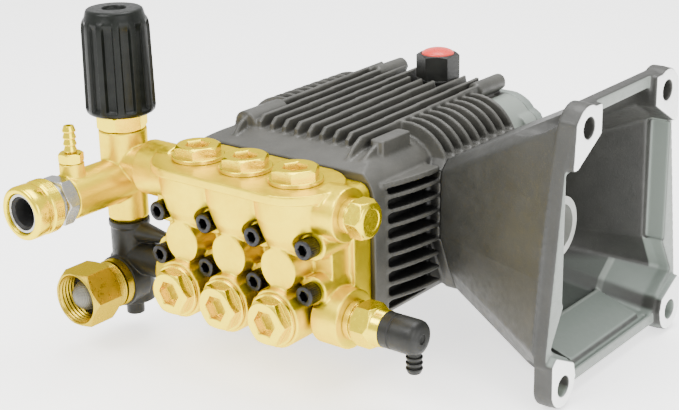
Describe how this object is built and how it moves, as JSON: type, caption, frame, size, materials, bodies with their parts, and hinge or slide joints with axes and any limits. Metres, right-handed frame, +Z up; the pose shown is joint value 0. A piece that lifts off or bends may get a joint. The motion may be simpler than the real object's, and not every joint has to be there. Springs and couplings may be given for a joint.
{
  "type": "pressure washer pump",
  "caption": "Direct-drive plunger pump: finned crankcase, bell housing with engine flange, brass manifold, unloader valve with knob, hose nut inlet and quick coupler outlet.",
  "frame": {"origin": "centre of the mouth of the hollow crankshaft, on the shaft's axis", "axes": "+X along the crankshaft out of the bell towards the engine, -Y towards the brass manifold's front, +Z up"},
  "size_m": [0.266, 0.2665, 0.1846],
  "materials": {
    "case_alloy": "painted, satin",
    "cover_alloy": "as cast",
    "cast_brass": "satin",
    "brass": "machined",
    "bronze": "machined",
    "dark_steel": "black oxide",
    "zinc_steel": "zinc plated",
    "steel": "ground",
    "stainless": "ground",
    "spring_steel": "plain",
    "bearing_steel": "polished",
    "rod_alloy": "as cast",
    "rubber": "matte",
    "black_plastic": "moulded",
    "red_plastic": "moulded",
    "sight_glass": "clear"
  },
  "bodies": {
    "pump": {"crankcase": "case_alloy", "bell_housing": "case_alloy", "bell_screws": "dark_steel", "rear_cover": "cover_alloy", "side_cover": "case_alloy", "cover_screws": "dark_steel", "sight_glass": "sight_glass", "main_bearing": "bearing_steel", "end_bearing": "bearing_steel", "shaft_seal": "rubber", "oil_seals": "rubber", "packings": "rubber", "packing_retainers": "brass", "manifold": "cast_brass", "head_screws": "dark_steel", "valve_caps": "brass", "valve_seats": "stainless", "valve_springs": "stainless", "gallery_plug": "brass", "unloader_body": "cast_brass", "unloader_nut": "brass", "coupler_body": "zinc_steel", "coupler_balls": "bearing_steel", "injector_barb": "brass", "inlet_tee": "black_plastic", "inlet_nipple": "brass", "inlet_filter": "stainless", "relief_body": "brass"},
    "crankshaft": {"crankshaft": "steel"},
    "rod_bush_1": {"rod_bush_1": "bronze"},
    "plunger_1": {"con_rod_1": "rod_alloy", "crosshead_1": "steel", "wrist_pin_1": "steel", "plunger_1": "stainless"},
    "outlet_valve_1": {"outlet_valve_1": "stainless"},
    "inlet_valve_1": {"inlet_valve_1": "stainless"},
    "rod_bush_2": {"rod_bush_2": "bronze"},
    "plunger_2": {"con_rod_2": "rod_alloy", "crosshead_2": "steel", "wrist_pin_2": "steel", "plunger_2": "stainless"},
    "outlet_valve_2": {"outlet_valve_2": "stainless"},
    "inlet_valve_2": {"inlet_valve_2": "stainless"},
    "rod_bush_3": {"rod_bush_3": "bronze"},
    "plunger_3": {"con_rod_3": "rod_alloy", "crosshead_3": "steel", "wrist_pin_3": "steel", "plunger_3": "stainless"},
    "outlet_valve_3": {"outlet_valve_3": "stainless"},
    "inlet_valve_3": {"inlet_valve_3": "stainless"},
    "spring_seat": {"spring_seat": "brass", "unloader_spring": "spring_steel"},
    "knob": {"knob": "black_plastic"},
    "unloader_piston": {"unloader_piston": "stainless"},
    "coupler_sleeve": {"coupler_sleeve": "brass"},
    "swivel_nut": {"swivel_nut": "brass"},
    "relief_elbow": {"relief_elbow": "black_plastic"},
    "oil_cap_seal": {"oil_cap_seal": "rubber"},
    "oil_cap": {"oil_cap": "black_plastic", "oil_cap_top": "red_plastic"}
  },
  "joints": [
    {"name": "crank_turn", "type": "hinge", "parent": "pump", "child": "crankshaft", "pos_m": [0, 0, 0], "axis": [1, 0, 0], "continuous": true},
    {"name": "bush_turn_1", "type": "hinge", "parent": "crankshaft", "child": "rod_bush_1", "pos_m": [-0.0852, 0, 0.0015], "axis": [1, 0, 0], "continuous": true},
    {"name": "plunger_turn_1", "type": "hinge", "parent": "rod_bush_1", "child": "plunger_1", "pos_m": [-0.0852, 0, 0], "axis": [1, 0, 0], "continuous": true},
    {"name": "bush_turn_2", "type": "hinge", "parent": "crankshaft", "child": "rod_bush_2", "pos_m": [-0.1182, -0.0013, -0.00075], "axis": [1, 0, 0], "continuous": true},
    {"name": "plunger_turn_2", "type": "hinge", "parent": "rod_bush_2", "child": "plunger_2", "pos_m": [-0.1182, -0.0026, 0], "axis": [1, 0, 0], "continuous": true},
    {"name": "bush_turn_3", "type": "hinge", "parent": "crankshaft", "child": "rod_bush_3", "pos_m": [-0.1512, 0.0013, -0.00075], "axis": [1, 0, 0], "continuous": true},
    {"name": "plunger_turn_3", "type": "hinge", "parent": "rod_bush_3", "child": "plunger_3", "pos_m": [-0.1512, 0.0026, 0], "axis": [1, 0, 0], "continuous": true},
    {"name": "outlet_valve_lift_1", "type": "slide", "parent": "pump", "child": "outlet_valve_1", "axis": [0, 0, 1], "range_m": [0, 0.002], "stiffness_N_per_m": 300, "springref_m": -0.004},
    {"name": "inlet_valve_lift_1", "type": "slide", "parent": "pump", "child": "inlet_valve_1", "axis": [0, -1, 0], "range_m": [0, 0.002], "stiffness_N_per_m": 300, "springref_m": -0.004},
    {"name": "outlet_valve_lift_2", "type": "slide", "parent": "pump", "child": "outlet_valve_2", "axis": [0, 0, 1], "range_m": [0, 0.002], "stiffness_N_per_m": 300, "springref_m": -0.004},
    {"name": "inlet_valve_lift_2", "type": "slide", "parent": "pump", "child": "inlet_valve_2", "axis": [0, -1, 0], "range_m": [0, 0.002], "stiffness_N_per_m": 300, "springref_m": -0.004},
    {"name": "outlet_valve_lift_3", "type": "slide", "parent": "pump", "child": "outlet_valve_3", "axis": [0, 0, 1], "range_m": [0, 0.002], "stiffness_N_per_m": 300, "springref_m": -0.004},
    {"name": "inlet_valve_lift_3", "type": "slide", "parent": "pump", "child": "inlet_valve_3", "axis": [0, -1, 0], "range_m": [0, 0.002], "stiffness_N_per_m": 300, "springref_m": -0.004},
    {"name": "seat_slide", "type": "slide", "parent": "pump", "child": "spring_seat", "axis": [0, 0, 1], "range_m": [-0.0031, 0.0031], "deforming": ["unloader_spring"]},
    {"name": "knob_turn", "type": "hinge", "parent": "spring_seat", "child": "knob", "pos_m": [-0.2095, -0.112, 0.0575], "axis": [0, 0, 1], "range_deg": [-720, 720]},
    {"name": "piston_lift", "type": "slide", "parent": "pump", "child": "unloader_piston", "axis": [0, 0, 1], "range_m": [0, 0.0015], "stiffness_N_per_m": 2000, "springref_m": -0.004},
    {"name": "sleeve_slide", "type": "slide", "parent": "pump", "child": "coupler_sleeve", "axis": [0, 1, 0], "range_m": [0, 0.0038], "stiffness_N_per_m": 400, "springref_m": -0.006},
    {"name": "nut_turn", "type": "hinge", "parent": "pump", "child": "swivel_nut", "pos_m": [-0.2095, -0.14, -0.0385], "axis": [0, 1, 0], "continuous": true},
    {"name": "elbow_turn", "type": "hinge", "parent": "pump", "child": "relief_elbow", "pos_m": [-0.024, -0.112, -0.0254], "axis": [1, 0, 0], "continuous": true},
    {"name": "cap_lift", "type": "slide", "parent": "pump", "child": "oil_cap_seal", "axis": [0, 0, 1], "range_m": [0, 0.006]},
    {"name": "oil_cap_turn", "type": "hinge", "parent": "oil_cap_seal", "child": "oil_cap", "pos_m": [-0.1142, 0.052, 0.051], "axis": [0, 0, 1], "range_deg": [0, 1080]}
  ],
  "couplings": [
    {"joint": "bush_turn_1", "follows": "crank_turn", "ratio": -2},
    {"joint": "plunger_turn_1", "follows": "crank_turn", "ratio": 1},
    {"joint": "bush_turn_2", "follows": "crank_turn", "ratio": -2},
    {"joint": "plunger_turn_2", "follows": "crank_turn", "ratio": 1},
    {"joint": "bush_turn_3", "follows": "crank_turn", "ratio": -2},
    {"joint": "plunger_turn_3", "follows": "crank_turn", "ratio": 1},
    {"joint": "seat_slide", "follows": "knob_turn", "m_per_rad": 0.00023873},
    {"joint": "cap_lift", "follows": "oil_cap_turn", "m_per_rad": 0.00031831}
  ]
}
